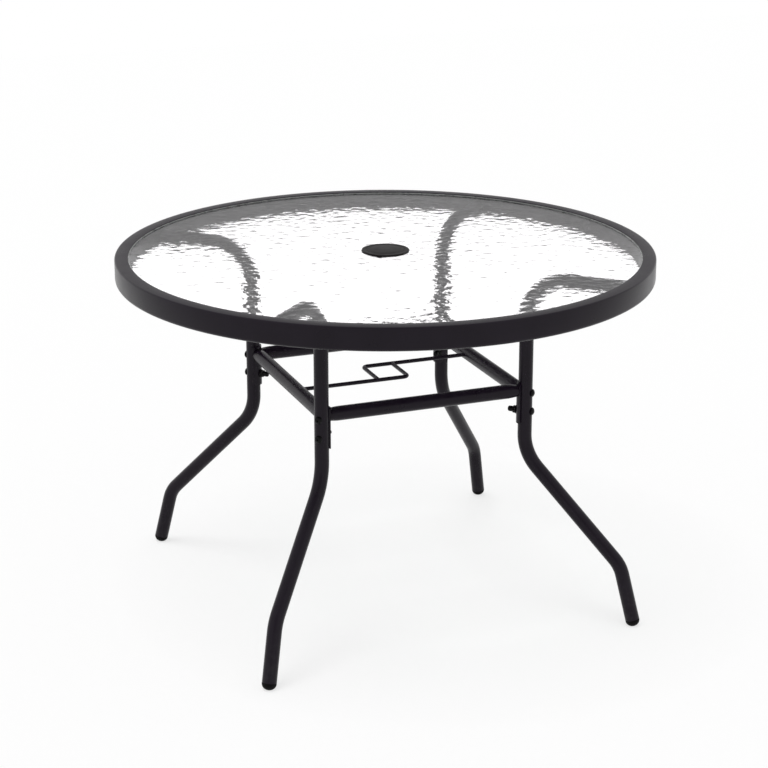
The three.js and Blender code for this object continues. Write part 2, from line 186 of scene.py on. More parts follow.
def coatedFinish(name, look):
    # Dark coating or plastic: two near tones in patches, fine grain, and paler rubbed edges
    material, tree, shader, place = newMaterial(name)
    grain = groupNode(tree, grainGroup, Grains_per_metre=look["grains"], Patches_per_metre=look["patches"])
    rub = groupNode(tree, rubGroup, Amount=look["rub"])
    link(tree, place, grain.inputs["Vector"])
    link(tree, place, rub.inputs["Vector"])
    patch = rangeNode(tree, grain.outputs["Patches"], *patchSpan, 0.0, 1.0)
    tone = mixColours(tree, patch, look["dark"], look["light"])
    link(tree, mixColours(tree, rub.outputs["Mask"], tone, look["rubbed"]), shader.inputs["Base Color"])
    rough = rangeNode(tree, grain.outputs["Patches"], *glossSpan, *look["roughness"])
    link(tree, rough, shader.inputs["Roughness"])
    shader.inputs["Specular IOR Level"].default_value = look["specular"]
    bumpFrom(tree, grain.outputs["Height"], look["bumpStrength"], look["bumpDepth"], shader)
    return material


powderCoat = coatedFinish("charcoalPowderCoat", {
    "dark": (0.0068, 0.0036, 0.0085), "light": (0.0092, 0.0056, 0.0115), "rubbed": (0.030, 0.027, 0.031),
    "grains": 900.0, "patches": 16.0, "rub": 0.35, "roughness": (0.26, 0.34), "specular": 0.17,
    "bumpStrength": 0.25, "bumpDepth": 0.00025,
})
blackPlastic = coatedFinish("blackPlastic", {
    "dark": (0.0085, 0.0072, 0.0074), "light": (0.0125, 0.0107, 0.0110), "rubbed": (0.030, 0.027, 0.027),
    "grains": 1600.0, "patches": 40.0, "rub": 0.3, "roughness": (0.36, 0.48), "specular": 0.11,
    "bumpStrength": 0.35, "bumpDepth": 0.00015,
})
footPlastic = coatedFinish("blackFootPlastic", {
    "dark": (0.0022, 0.0020, 0.0022), "light": (0.0036, 0.0032, 0.0034), "rubbed": (0.020, 0.019, 0.018),
    "grains": 1300.0, "patches": 60.0, "rub": 0.4, "roughness": (0.45, 0.60), "specular": 0.08,
    "bumpStrength": 0.4, "bumpDepth": 0.00015,
})
blackSteel = coatedFinish("blackOxideSteel", {
    "dark": (0.0025, 0.0024, 0.0027), "light": (0.0045, 0.0043, 0.0047), "rubbed": (0.035, 0.034, 0.033),
    "grains": 2200.0, "patches": 120.0, "rub": 0.4, "roughness": (0.30, 0.42), "specular": 0.12,
    "bumpStrength": 0.3, "bumpDepth": 0.0001,
})


def rippledGlassFinish(look):
    # Clear glass that lets the lamps through; ripples too fine for its mesh, on the underside alone
    material, tree, shader, place = newMaterial("rippledGlass")
    shader.inputs["Base Color"].default_value = (*look["tint"], 1.0)
    shader.inputs["Roughness"].default_value = look["roughness"]
    shader.inputs["IOR"].default_value = look["ior"]
    shader.inputs["Transmission Weight"].default_value = 1.0
    fine = noiseNode(tree, place, look["ripplesPerMetre"], detail=1.0, roughness=0.4)
    apart = tree.nodes.new("ShaderNodeSeparateXYZ")
    link(tree, place, apart.inputs[0])
    under = rangeNode(tree, apart.outputs["Z"], look["rippleFloor"], look["rippleTop"], 1.0, 0.0)
    bumpFrom(tree, mathNode(tree, "MULTIPLY", fine, under), 1.0, look["bumpDepth"], shader)
    rays = tree.nodes.new("ShaderNodeLightPath")
    clear = tree.nodes.new("ShaderNodeBsdfTransparent")
    clear.inputs["Color"].default_value = (*look["lampTint"], 1.0)
    mix = tree.nodes.new("ShaderNodeMixShader")
    link(tree, rays.outputs["Is Shadow Ray"], mix.inputs["Fac"])
    link(tree, shader.outputs["BSDF"], mix.inputs[1])
    link(tree, clear.outputs["BSDF"], mix.inputs[2])
    link(tree, mix.outputs["Shader"], tree.nodes["Material Output"].inputs["Surface"])
    return material


glassLow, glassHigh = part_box("glass_top")
rippledGlass = rippledGlassFinish({
    "tint": (0.995, 0.98, 0.995), "roughness": 0.0, "ior": 1.5, "lampTint": (0.93, 0.95, 0.94),
    "ripplesPerMetre": 120.0, "bumpDepth": 0.00019,
    "rippleFloor": glassLow.z + 0.0012, "rippleTop": glassHigh.z - 0.0020,
})


def vinylFinish(look):
    # Milky clear vinyl with a faint haze that drifts along the strip
    material, tree, shader, place = newMaterial("clearVinyl")
    haze = noiseNode(tree, place, look["hazePerMetre"], detail=3.0)
    link(tree, mixColours(tree, haze, look["dark"], look["light"]), shader.inputs["Base Color"])
    link(tree, rangeNode(tree, haze, *glossSpan, *look["roughness"]), shader.inputs["Roughness"])
    shader.inputs["Transmission Weight"].default_value = look["transmission"]
    return material


clearVinyl = vinylFinish({
    "dark": (0.30, 0.31, 0.305), "light": (0.42, 0.435, 0.425), "hazePerMetre": 60.0,
    "roughness": (0.22, 0.38), "transmission": 0.25,
})
print("table: finishes made")


# Ways of making a piece

weld = 1e-6  # points closer than this become one
onPlane = 1e-7  # points this near a cutting plane count as on it


def keepPiece(name, bm, material, nodes, body="table", sharpAngle=35):
    # Welds the mesh, turns its faces outwards and hands it to the frame
    bmesh.ops.remove_doubles(bm, verts=bm.verts, dist=weld)
    bmesh.ops.recalc_face_normals(bm, faces=bm.faces)
    mesh = bpy.data.meshes.new(name)
    bm.to_mesh(mesh)
    bm.free()
    for face in mesh.polygons:
        face.use_smooth = True
    mesh.set_sharp_from_angle(angle=radians(sharpAngle))
    mesh.materials.append(material)
    piece = bpy.data.objects.new(name, mesh)
    bpy.context.scene.collection.objects.link(piece)
    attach(piece, body)
    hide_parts(*nodes)


def vertsOf(geometry):
    return [part for part in geometry if isinstance(part, bmesh.types.BMVert)]


def edgesOf(geometry):
    return [part for part in geometry if isinstance(part, bmesh.types.BMEdge)]


def allOf(bm):
    return bm.verts[:] + bm.edges[:] + bm.faces[:]


def up(height):
    return Vector((0, 0, height))


def spinProfile(bm, points, steps, closed=True, segments=3):
    # Turns a section of (radius, height, rounding) points about Z
    verts = [bm.verts.new((radius, 0, height)) for radius, height, rounding in points]
    pairs = zip(verts, verts[1:] + verts[:1]) if closed else zip(verts, verts[1:])
    for first, second in pairs:
        bm.edges.new((first, second))
    for vert, (radius, height, rounding) in zip(verts, points):
        if rounding:
            bmesh.ops.bevel(bm, geom=[vert], offset=rounding, segments=segments, profile=0.5,
                            affect="VERTICES", material=-1)
    bmesh.ops.spin(bm, geom=bm.verts[:] + bm.edges[:], cent=(0, 0, 0), axis=(0, 0, 1), dvec=(0, 0, 0),
                   angle=2 * pi, steps=steps, use_merge=True, use_duplicate=False)
    bmesh.ops.remove_doubles(bm, verts=bm.verts, dist=onPlane)


def moveAll(bm, matrix):
    bmesh.ops.transform(bm, matrix=matrix, verts=bm.verts)


def circleRing(bm, radius, steps, matrix=Matrix()):
    made = bmesh.ops.create_circle(bm, cap_ends=False, radius=radius, segments=steps, matrix=matrix)
    return list({edge for vert in made["verts"] for edge in vert.link_edges})


def stretchRing(bm, ring, shift, scale=(1, 1, 1), about=None):
    # Extrudes an edge ring, moves the new one and returns its edges
    made = bmesh.ops.extrude_edge_only(bm, edges=ring)["geom"]
    verts = vertsOf(made)
    if about is not None:
        bmesh.ops.scale(bm, vec=scale, verts=verts, space=Matrix.Translation(-about))
    bmesh.ops.translate(bm, vec=shift, verts=verts)
    moved = set(verts)
    return [edge for edge in edgesOf(made) if moved.issuperset(edge.verts)]


def growRing(bm, ring, radius, height, profile):
    # Carries a ring about Z from this radius and height on to each (radius, height) of the profile
    for newRadius, newHeight in profile:
        share = newRadius / radius
        ring = stretchRing(bm, ring, up(newHeight - height), scale=(share, share, 1), about=up(height))
        radius, height = newRadius, newHeight
    return ring


def ringVerts(ring):
    return list({vert for edge in ring for vert in edge.verts})


def thicken(bm, faces, sheet):
    # Gives a flat plate its thickness, along Y
    made = bmesh.ops.extrude_face_region(bm, geom=faces, use_keep_orig=True)["geom"]
    bmesh.ops.translate(bm, vec=(0, sheet, 0), verts=vertsOf(made))


def bendTube(bm, radius, aroundCount, route, bends, stepAngle):
    # A tube's skin: straight stretches extruded, bends spun, as a pipe bender makes them
    heading = (route[1] - route[0]).normalized()
    turned = heading.to_track_quat("Z", "Y").to_matrix().to_4x4()
    first = circleRing(bm, radius, aroundCount, Matrix.Translation(route[0]) @ turned)
    ring, place = first, route[0]
    for corner, after, bend in zip(route[1:-1], route[2:], bends):
        leaving = (after - corner).normalized()
        turn = heading.angle(leaving)
        axis = heading.cross(leaving).normalized()
        setback = bend * tan(turn / 2)
        start = corner - heading * setback
        ring = stretchRing(bm, ring, start - place)
        spun = bmesh.ops.spin(bm, geom=ringVerts(ring) + ring, cent=start + axis.cross(heading) * bend,
                              axis=axis, dvec=(0, 0, 0), angle=turn, steps=ceil(turn / stepAngle),
                              use_merge=False, use_duplicate=False)
        ring = edgesOf(spun["geom_last"])
        place, heading = corner + leaving * setback, leaving
    return first, stretchRing(bm, ring, route[-1] - place)


def hollowTube(bm, radius, wall, aroundCount, route, bends, stepAngle):
    # The bore's skin faces inwards before the ends are closed, so that the bridges don't cross the bore
    outer = bendTube(bm, radius, aroundCount, route, bends, stepAngle)
    outerSkin = set(bm.faces)
    inner = bendTube(bm, radius - wall, aroundCount, route, bends, stepAngle)
    bmesh.ops.reverse_faces(bm, faces=[face for face in bm.faces if face not in outerSkin])
    for outside, inside in zip(outer, inner):
        bmesh.ops.bridge_loops(bm, edges=outside + inside)


def quarterTurn(angle):
    return Matrix.Rotation(radians(angle), 4, "Z")


# Rim: one hoop of roll-formed strip, open along a seam on its inner side

rimLow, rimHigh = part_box("table_rim")
rim = {
    "sheet": 0.0015, "topCorner": 0.003, "bottomCorner": 0.007, "insideCorner": 0.0015, "edge": 0.0009,
    "lipWidth": 0.0265, "lipUnderEdge": 0.0004, "slotDepth": 0.010, "slotDrop": 0.0101,
    "seam": 0.002, "seamEdge": 0.0005, "steps": 192,
}


def makeRim():
    outer, top, bottom = rimHigh.x, rimHigh.z, rimLow.z
    lip = outer - rim["lipWidth"]
    slotWall = lip + rim["slotDepth"]
    slotFloor = top - rim["slotDrop"]
    sheet, edge, seamEdge = rim["sheet"], rim["edge"], rim["seamEdge"]
    wallEnd = bottom + sheet + rim["seam"]
    bm = bmesh.new()
    spinProfile(bm, [
        (lip, bottom, seamEdge), (outer, bottom, rim["bottomCorner"]), (outer, top, rim["topCorner"]),
        (lip, top, edge), (lip, top - sheet, rim["lipUnderEdge"]), (slotWall, top - sheet, 0),
        (slotWall, slotFloor, 0), (lip, slotFloor, edge), (lip, wallEnd, seamEdge),
        (lip + sheet, wallEnd, seamEdge), (lip + sheet, slotFloor - sheet, 0),
        (slotWall + sheet, slotFloor - sheet, 0), (slotWall + sheet, top - sheet, 0),
        (outer - sheet, top - sheet, rim["insideCorner"]),
        (outer - sheet, bottom + sheet, rim["bottomCorner"] - sheet), (lip, bottom + sheet, seamEdge),
    ], rim["steps"], segments=4)
    keepPiece("rim_hoop", bm, powderCoat, ["table_rim"])


makeRim()


# Glass: a pane with a ground edge and a rippled underside

glass = {
    "holeRadius": 0.032, "arris": 0.0008, "around": 620, "across": 108, "quickAround": 240, "quickAcross": 48,
    "rippleDepth": 0.00062, "ripplesPerMetre": 62.0, "flatBorder": 0.006, "underside": 1e-5,
}


def rippleAt(place):
    # From 0 to 1: rounded swells of uneven size
    return 0.5 + 0.5 * noise.noise(place * glass["ripplesPerMetre"], noise_basis="PERLIN_NEW")


def makeGlass():
    around, across = glass["around"], glass["across"]
    outer, top, bottom = glassHigh.x, glassHigh.z, glassLow.z
    hole, arris, border = glass["holeRadius"], glass["arris"], glass["flatBorder"]
    bm = bmesh.new()
    points = [(outer - arris, bottom), (outer, bottom + arris), (outer, top - arris), (outer - arris, top),
              (outer - border, top), (hole + arris, top), (hole, top - arris), (hole, bottom)]
    width = outer - arris - hole
    points += [(hole + width * step / across, bottom) for step in range(1, across)]
    spinProfile(bm, [(radius, height, 0) for radius, height in points], around)
    for vert in bm.verts:
        if vert.co.z > bottom + glass["underside"]:
            continue
        fromEdge = min(outer - vert.co.xy.length, vert.co.xy.length - hole)
        fade = min(1.0, max(0.0, fromEdge / border))
        vert.co.z += glass["rippleDepth"] * fade * rippleAt(Vector((vert.co.x, vert.co.y, 0)))
    keepPiece("glass_pane", bm, rippledGlass, ["glass_top"], sharpAngle=30)


makeGlass()

gasketLow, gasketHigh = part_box("glass_gasket")
gasket = {
    "sheet": 0.0012, "foot": 0.009, "bead": 0.0015, "beadRise": 0.0006, "beadInset": 0.0115,
    "rounding": 0.0004, "underEdge": 0.0001,
}


def makeGasket():
    outer, top, bottom = gasketHigh.x, gasketHigh.z, gasketLow.z
    sheet, rounding = gasket["sheet"], gasket["rounding"]
    flange = top - gasket["beadRise"]
    inside = outer - gasket["beadInset"]
    beadEnd = inside + gasket["bead"]
    foot = outer - gasket["foot"]
    bm = bmesh.new()
    spinProfile(bm, [
        (foot, bottom, rounding), (outer, bottom, rounding), (outer, flange, rounding),
        (beadEnd, flange, 0), (beadEnd, top, rounding), (inside, top, rounding),
        (inside, flange - sheet, gasket["underEdge"]), (outer - sheet, flange - sheet, 0),
        (outer - sheet, bottom + sheet, 0), (foot, bottom + sheet, rounding),
    ], rim["steps"], segments=2)
    keepPiece("gasket_strip", bm, clearVinyl, ["glass_gasket"])


makeGasket()


# Umbrella ring in the glass and the cap that closes it

ringLow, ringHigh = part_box("umbrella_ring")
capLow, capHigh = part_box("umbrella_cap")
umbrellaRing = {
    "bore": 0.024, "bodyRadius": 0.0312, "flangeHeight": 0.004, "recessDepth": 0.003, "recessRadius": 0.0385,
    "edge": 0.0015, "boreFoot": 0.0006, "bodyFoot": 0.001, "flangeUnderEdge": 0.0005, "recessEdge": 0.0004,
    "recessCorner": 0.0003, "boreTop": 0.0008, "steps": 96,
}
umbrellaCap = {
    "plugRadius": 0.0235, "plugWall": 0.002, "thickness": 0.0027, "crown": 0.001,
    "grooveRadius": 0.033, "grooveWidth": 0.0012, "grooveDepth": 0.0006,
    "wallEdge": 0.0004, "plugFoot": 0.0008, "corner": 0.0003, "rimEdge": 0.0009, "grooveFloor": 0.0002,
    "crownAtGroove": 0.85, "crownInsideGroove": 0.8, "crownAtPlug": 0.35, "crownHalfway": 0.08,
}


def makeUmbrellaRing():
    ring = umbrellaRing
    bore, body = ring["bore"], ring["bodyRadius"]
    flange, top, bottom = ringHigh.x, ringHigh.z, ringLow.z
    seat, recess = top - ring["flangeHeight"], top - ring["recessDepth"]
    bm = bmesh.new()
    spinProfile(bm, [
        (bore, bottom, ring["boreFoot"]), (body, bottom, ring["bodyFoot"]), (body, seat, 0),
        (flange, seat, ring["flangeUnderEdge"]), (flange, top, ring["edge"]),
        (ring["recessRadius"], top, ring["recessEdge"]), (ring["recessRadius"], recess, ring["recessCorner"]),
        (bore, recess, ring["boreTop"]),
    ], ring["steps"], segments=3)
    keepPiece("umbrella_ring_moulding", bm, blackPlastic, ["umbrella_ring"])


def makeUmbrellaCap():
    cap = umbrellaCap
    edge, top, bottom = capHigh.x, capHigh.z, capLow.z
    plug, crown, corner = cap["plugRadius"], cap["crown"], cap["corner"]
    plugBore = plug - cap["plugWall"]
    seat = ringHigh.z - cap["thickness"]
    groove, half = cap["grooveRadius"], cap["grooveWidth"] / 2
    grooveTop = top - crown * cap["crownAtGroove"]
    bm = bmesh.new()
    spinProfile(bm, [
        (0, seat, 0), (plugBore, seat, cap["wallEdge"]), (plugBore, bottom, cap["wallEdge"]),
        (plug, bottom, cap["plugFoot"]), (plug, seat, corner), (edge, seat, corner),
        (edge, top - crown, cap["rimEdge"]), (groove + half, grooveTop, corner),
        (groove, grooveTop - cap["grooveDepth"], cap["grooveFloor"]),
        (groove - half, top - crown * cap["crownInsideGroove"], corner),
        (plug, top - crown * cap["crownAtPlug"], 0), (plug / 2, top - crown * cap["crownHalfway"], 0),
        (0, top, 0),
    ], umbrellaRing["steps"], closed=False, segments=3)
    keepPiece("umbrella_cap_moulding", bm, blackPlastic, ["umbrella_cap"], body="cap")


makeUmbrellaRing()
makeUmbrellaCap()
print("table: rim, glass, gasket, umbrella ring and cap made")


# Legs, drawn for one that points along +X

leg = {
    "radius": 0.014, "wall": 0.0014, "around": 40, "stepAngle": radians(4),
    "footRadius": 0.5365, "footLift": 0.013, "ankle": (0.505, 0.121), "uprightRadius": 0.300,
    "hipHeight": 0.329, "armHeight": 0.6847, "armEnd": 0.50275,
    "ankleBend": 0.070, "hipBend": 0.095, "armBend": 0.082,
}
footFloor = Vector((leg["footRadius"], 0, 0))
ankle = Vector((leg["ankle"][0], 0, leg["ankle"][1]))
footUp = (ankle - footFloor).normalized()


def makeLegs():
    upright, arm = leg["uprightRadius"], leg["armHeight"]
    route = [footFloor + footUp * leg["footLift"], ankle, Vector((upright, 0, leg["hipHeight"])),
             Vector((upright, 0, arm)), Vector((leg["armEnd"], 0, arm))]
    bends = [leg["ankleBend"], leg["hipBend"], leg["armBend"]]
    for corner, angle in corners.items():
        bm = bmesh.new()
        hollowTube(bm, leg["radius"], leg["wall"], leg["around"], route, bends, leg["stepAngle"])
        moveAll(bm, quarterTurn(angle))
        keepPiece("leg_tube_" + corner, bm, powderCoat, ["leg_" + corner])


footCap = {
    "collar": 0.0020, "collarEdge": 0.0006, "dome": 0.012, "domeSteps": 8, "plug": 0.025,
    "plugRadius": 0.0113, "plugEdge": 0.001, "gap": 0.0003, "steps": 40,
}


def makeFootCaps():
    # Spun about the foot's axis, leant with it, then cut flat by the floor
    top = leg["footLift"] - footCap["gap"]
    low = top - footCap["collar"]
    plugRadius, plugTop = footCap["plugRadius"], footCap["plug"]
    section = []
    for step in range(footCap["domeSteps"] + 1):
        angle = step * pi / 2 / footCap["domeSteps"]
        section.append((leg["radius"] * sin(angle), low - footCap["dome"] * cos(angle), 0))
    section += [(leg["radius"], top, footCap["collarEdge"]), (plugRadius, top, 0),
                (plugRadius, plugTop, footCap["plugEdge"]), (0, plugTop, 0)]
    lean = up(1).rotation_difference(footUp).to_matrix().to_4x4()
    for corner, angle in corners.items():
        bm = bmesh.new()
        spinProfile(bm, section, footCap["steps"], closed=False)
        moveAll(bm, quarterTurn(angle) @ Matrix.Translation(footFloor) @ lean)
        cut = bmesh.ops.bisect_plane(bm, geom=allOf(bm), dist=onPlane, plane_co=(0, 0, 0),
                                     plane_no=(0, 0, 1), clear_inner=True)
        bmesh.ops.edgeloop_fill(bm, edges=edgesOf(cut["geom_cut"]))
        keepPiece("foot_cap_moulding_" + corner, bm, footPlastic, ["foot_cap_" + corner])


makeLegs()
makeFootCaps()


# Brackets: plates cut flat with round corners, then rolled round the upright

bracket = {
    "inner": 0.0143, "sheet": 0.0032, "above": 0.018, "below": 0.065, "wrap": radians(75),
    "corner": 0.005, "columns": 24,
}
brace = {
    "height": 0.457, "radius": 0.014, "wall": 0.0014, "inset": 0.0076, "around": 40, "gap": 0.0003,
    "squeezeLength": 0.038, "squeezeHeight": 0.58, "squeezeSteps": 12,
    "grooveHalf": 0.008, "grooveDepth": 0.0026,
}
legCorner = sqrt(0.5) * leg["uprightRadius"]  # an upright's axis, measured along X or Y
bracePlace = legCorner - brace["inset"]


def makeBrackets():
    middle = bracket["inner"] + bracket["sheet"] / 2
    half = bracket["wrap"] * middle
    low, high = brace["height"] - bracket["below"], brace["height"] + bracket["above"]
    flat = ((-half, 0, low), (half, 0, low), (half, 0, high), (-half, 0, high))
    for corner, angle in corners.items():
        bm = bmesh.new()
        plate = bm.faces.new([bm.verts.new(point) for point in flat])
        bmesh.ops.bevel(bm, geom=list(plate.verts), offset=bracket["corner"], segments=5, profile=0.5,
                        affect="VERTICES", material=-1)
        for column in range(1, bracket["columns"]):
            x = -half + 2 * half * column / bracket["columns"]
            bmesh.ops.bisect_plane(bm, geom=allOf(bm), dist=onPlane, plane_co=(x, 0, 0), plane_no=(1, 0, 0))
        thicken(bm, bm.faces[:], bracket["sheet"])
        for vert in bm.verts:
            turn = pi + vert.co.x / middle
            reach = bracket["inner"] + vert.co.y
            vert.co.x, vert.co.y = leg["uprightRadius"] + reach * cos(turn), reach * sin(turn)
        moveAll(bm, quarterTurn(angle))
        keepPiece("bracket_plate_" + corner, bm, powderCoat, ["leg_bracket_" + corner])


def braceEnd(y):
    # Where a line along the brace meets the mitre or the bracket, whichever comes first
    mitre = bracePlace - (y + bracePlace) - brace["gap"] * sqrt(0.5)
    cope = bracket["inner"] + bracket["sheet"] + brace["gap"]
    across = y + legCorner
    if abs(across) < cope:
        return min(mitre, legCorner - sqrt(cope * cope - across * across))
    return mitre


def squeezeAt(share):
    # Height of the squeezed end as a share of the tube's, from 1 to squeezeHeight
    return 1 - (1 - brace["squeezeHeight"]) * (1 - cos(share * pi / 2))


def makeBraces():
    # Half of the front one, squeezed at its end and trimmed to its neighbours, then mirrored
    centre = Vector((0, -bracePlace, brace["height"]))
    facing = Matrix.Translation(centre) @ Matrix.Rotation(pi / 2, 4, "Y")
    reach = legCorner - brace["squeezeLength"]
    steps = brace["squeezeSteps"]
    forward = Vector((brace["squeezeLength"] / steps, 0, 0))
    for side, angle in sides.items():
        bm = bmesh.new()
        ends = []
        for radius in (brace["radius"], brace["radius"] - brace["wall"]):
            ring = stretchRing(bm, circleRing(bm, radius, brace["around"], facing), Vector((reach, 0, 0)))
            for step in range(1, steps + 1):
                share = squeezeAt(step / steps) / squeezeAt((step - 1) / steps)
                ring = stretchRing(bm, ring, forward, scale=(1, 1, share), about=centre)
            ends += ring
        for vert in bm.verts:
            # The squeezing leaves a groove in the top of each end
            if vert.co.z > brace["height"]:
                share = max(0.0, (vert.co.x - reach) / brace["squeezeLength"])
                across = min(1.0, abs(vert.co.y + bracePlace) / brace["grooveHalf"])
                vert.co.z -= brace["grooveDepth"] * share * (1 + cos(pi * across)) / 2
            vert.co.x = min(vert.co.x, braceEnd(vert.co.y))
        bmesh.ops.bridge_loops(bm, edges=ends)
        bmesh.ops.mirror(bm, geom=allOf(bm), axis="X", merge_dist=weld)
        moveAll(bm, quarterTurn(angle))
        keepPiece("brace_tube_" + side, bm, powderCoat, ["brace_" + side])


makeBrackets()
makeBraces()


# Guide rods round the umbrella pole

rod = {"radius": 0.004, "around": 24, "width": 0.064, "depth": 0.091, "bend": 0.011, "stepAngle": radians(9)}


def makeGuideRods():
    start = -bracePlace + brace["radius"] + brace["gap"]
    halfWidth, halfDepth, height = rod["width"] / 2, rod["depth"] / 2, brace["height"]
    end = halfDepth - rod["radius"] - brace["gap"]
    route = [Vector((start, -halfDepth, height)), Vector((halfWidth, -halfDepth, height)),
             Vector((halfWidth, end, height))]
    for side, angle in (("left", 0), ("right", 180)):
        bm = bmesh.new()
        for ring in bendTube(bm, rod["radius"], rod["around"], route, [rod["bend"]], rod["stepAngle"]):
            bmesh.ops.edgeloop_fill(bm, edges=ring)
        moveAll(bm, quarterTurn(angle))
        keepPiece("guide_rod_bar_" + side, bm, powderCoat, ["guide_rod_" + side])


makeGuideRods()
print("table: legs, foot caps, brackets, braces and guide rods made")


# Bolts, washers and cap nuts

bolt = {
    "radius": 0.004, "headRadius": 0.00775, "headHeight": 0.0044, "headSteps": 7, "socket": 0.0025,
    "socketDepth": 0.0026, "socketRise": 0.0001, "tipChamfer": 0.0006, "upperTip": 0.0008,
    "upper": 0.454, "lower": 0.416, "gap": 0.0003, "steps": 30,
}
washer = {"radius": 0.0085, "hole": 0.0043, "thickness": 0.0016, "edge": 0.0003, "holeEdge": 0.0002}
nut = {
    "flats": 0.0065, "height": 0.0055, "domeRadius": 0.0055, "length": 0.0155, "tipCorner": 0.003,
    "tipSteps": 5, "chamfer": 0.0007, "bore": 0.0043, "boreDepth": 0.0103, "boltTip": 0.010,
}
hexCorner = 1 / cos(pi / 6)  # a hexagon's corner for a flat at 1


def boltShape(bm, length):
    # Head up, its seat at zero: a shank, a domed head and a hexagonal socket
    head, high, shank, chamfer = bolt["headRadius"], bolt["headHeight"], bolt["radius"], bolt["tipChamfer"]
    bmesh.ops.create_circle(bm, cap_ends=True, radius=shank - chamfer, segments=bolt["steps"],
                            matrix=Matrix.Translation(up(-length)))
    profile = [(shank, chamfer - length), (shank, 0), (head, 0)]
    for step in range(1, bolt["headSteps"]):
        angle = step * pi / 2 / bolt["headSteps"]
        profile.append((head * cos(angle), high * sin(angle)))
    ring = growRing(bm, bm.edges[:], shank - chamfer, -length, profile)
    socketTop = profile[-1][1] + bolt["socketRise"]
    socket = circleRing(bm, bolt["socket"] * hexCorner, 6, Matrix.Translation(up(socketTop)))
    bmesh.ops.bridge_loops(bm, edges=ring + socket)
    bmesh.ops.edgeloop_fill(bm, edges=stretchRing(bm, socket, up(-bolt["socketDepth"])))


def radialTurn(outwards=True):
    # Stands a shape that was drawn along Z on the leg's radius
    return Matrix.Rotation(pi / 2 if outwards else -pi / 2, 4, "Y")


def nutShape(bm):
    # A hexagon drawn as a ring of many points, so that the bore and the dome can grow out of it
    hexagon = circleRing(bm, nut["flats"] * hexCorner, 6)
    bmesh.ops.subdivide_edges(bm, edges=hexagon, cuts=bolt["steps"] // 6 - 1)
    ring = bm.edges[:]
    bore = circleRing(bm, nut["bore"], bolt["steps"])
    bmesh.ops.bridge_loops(bm, edges=ring + bore)
    bmesh.ops.edgeloop_fill(bm, edges=stretchRing(bm, bore, up(nut["boreDepth"])))

    chamfer, dome, tip = nut["chamfer"], nut["domeRadius"], nut["tipCorner"]
    shoulder = nut["height"] - chamfer
    shrink = 1 - chamfer / nut["flats"]
    ring = stretchRing(bm, ring, up(shoulder))
    ring = stretchRing(bm, ring, up(chamfer), scale=(shrink, shrink, 1), about=up(shoulder))
    ring = stretchRing(bm, ring, up(0))
    for vert in ringVerts(ring):
        vert.co.xy = vert.co.xy.normalized() * dome
    profile = [(dome, nut["length"] - tip)]
    for step in range(1, nut["tipSteps"] + 1):
        angle = step * pi / 2 / nut["tipSteps"]
        profile.append((dome - tip + tip * cos(angle), nut["length"] - tip + tip * sin(angle)))
    bmesh.ops.edgeloop_fill(bm, edges=growRing(bm, ring, dome, nut["height"], profile))


def makeFixings():
    upright = leg["uprightRadius"]
    headSeat = upright + leg["radius"] + bolt["gap"]
    plate = upright - bracket["inner"] - bracket["sheet"]
    washerSeat = plate - bolt["gap"]
    nutSeat = washerSeat - washer["thickness"] - bolt["gap"]
    tips = {"upper": plate - bolt["upperTip"], "lower": nutSeat - nut["boltTip"]}
    thickness, edge, holeEdge = washer["thickness"], washer["edge"], washer["holeEdge"]
    for corner, angle in corners.items():
        turn = quarterTurn(angle)
        for level, tip in tips.items():
            bm = bmesh.new()
            boltShape(bm, headSeat - tip)
            moveAll(bm, turn @ Matrix.Translation((headSeat, 0, bolt[level])) @ radialTurn())
            name = level + "_bolt_turned_" + corner
            keepPiece(name, bm, blackSteel, [level + "_bolt_" + corner])

        bm = bmesh.new()
        spinProfile(bm, [(washer["hole"], 0, holeEdge), (washer["radius"], 0, edge),
                         (washer["radius"], thickness, edge), (washer["hole"], thickness, holeEdge)],
                    bolt["steps"], segments=2)
        moveAll(bm, turn @ Matrix.Translation((washerSeat, 0, bolt["lower"])) @ radialTurn(False))
        keepPiece("washer_disc_" + corner, bm, blackSteel, ["bolt_washer_" + corner])

        bm = bmesh.new()
        nutShape(bm)
        moveAll(bm, turn @ Matrix.Translation((nutSeat, 0, bolt["lower"])) @ radialTurn(False))
        keepPiece("cap_nut_turned_" + corner, bm, blackSteel, ["cap_nut_" + corner])


makeFixings()


# Rim tabs and their screws, under the arm ends

tab = {
    "face": 0.50605, "sheet": 0.003, "width": 0.026, "reach": 0.040, "rise": 0.027, "edge": 0.0005,
    "gap": 0.0003, "screwInset": 0.022,
}
screw = {
    "radius": 0.003, "headRadius": 0.0055, "headHeight": 0.003, "tip": 0.006,
    "headCorner": 0.0018, "seatEdge": 0.0003, "tipEdge": 0.0008,
}


